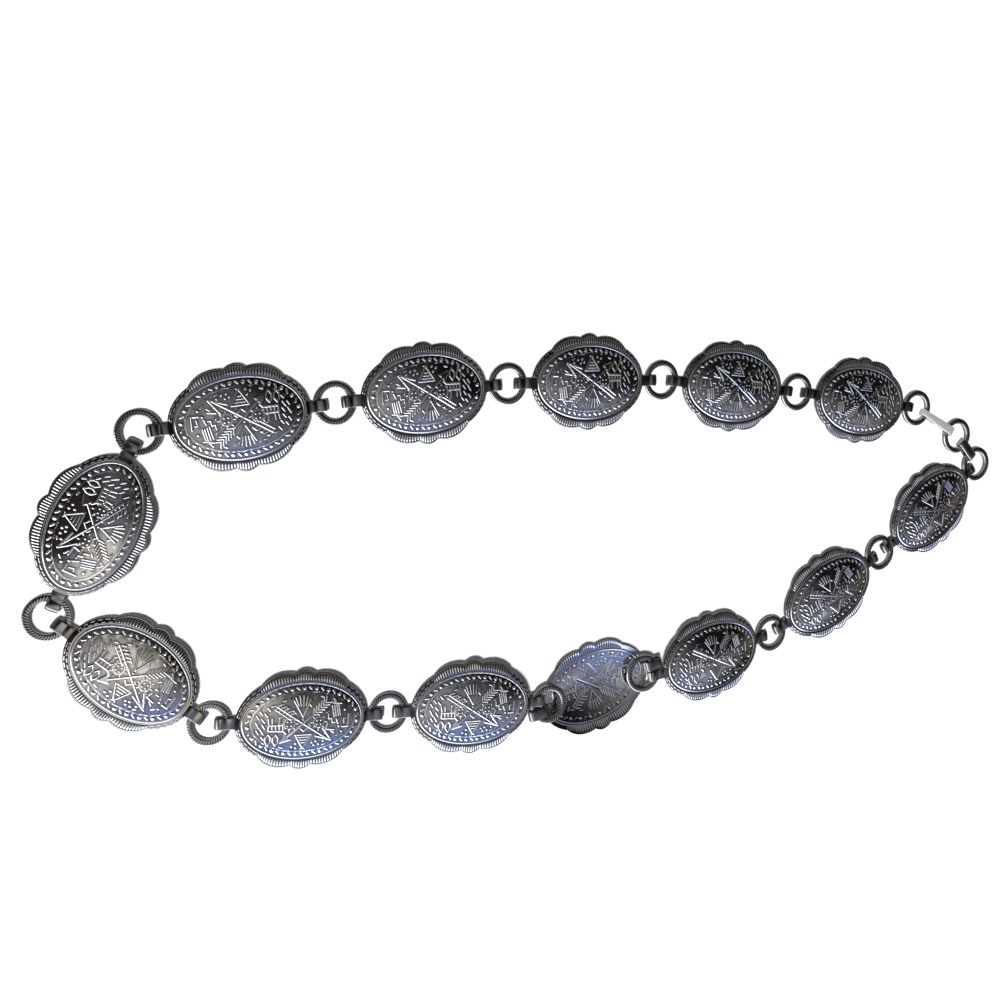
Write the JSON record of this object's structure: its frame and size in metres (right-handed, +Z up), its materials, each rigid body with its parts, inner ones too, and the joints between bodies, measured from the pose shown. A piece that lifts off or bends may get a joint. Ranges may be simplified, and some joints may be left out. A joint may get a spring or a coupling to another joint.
{
  "type": "metal concho belt",
  "caption": "Metal concho belt hooked in a closed loop: scalloped domed oval plates with raised oval borders, joined by flat rope-cut rings in folded tabs, with a strip hook clasp.",
  "frame": {"origin": "centre of the belt's box, on the surface that the belt lies on", "axes": "+X along the loop's long way, towards the clasp; +Z up, out of the conchos' faces; +Y completes the frame"},
  "size_m": [0.4934, 0.1872, 0.0094],
  "materials": {
    "concho_steel": "bright stamped plate with darkened recesses",
    "ring_steel": "bright plate, rope-cut face, darkened cuts",
    "clasp_steel": "bright smooth strip"
  },
  "bodies": {
    "root": {"concho_01": "concho_steel", "concho_02": "concho_steel", "concho_03": "concho_steel", "concho_04": "concho_steel", "concho_05": "concho_steel", "concho_06": "concho_steel", "concho_07": "concho_steel", "concho_08": "concho_steel", "concho_09": "concho_steel", "concho_10": "concho_steel", "concho_11": "concho_steel", "concho_12": "concho_steel", "concho_13": "concho_steel", "ring_01": "ring_steel", "ring_02": "ring_steel", "ring_03": "ring_steel", "ring_04": "ring_steel", "ring_05": "ring_steel", "ring_06": "ring_steel", "ring_07": "ring_steel", "ring_08": "ring_steel", "ring_09": "ring_steel", "ring_10": "ring_steel", "ring_11": "ring_steel", "ring_12": "ring_steel", "ring_tail": "ring_steel", "ring_eye": "ring_steel", "ring_hook_end": "ring_steel", "hook": "clasp_steel", "connector": "clasp_steel"}
  },
  "joints": []
}
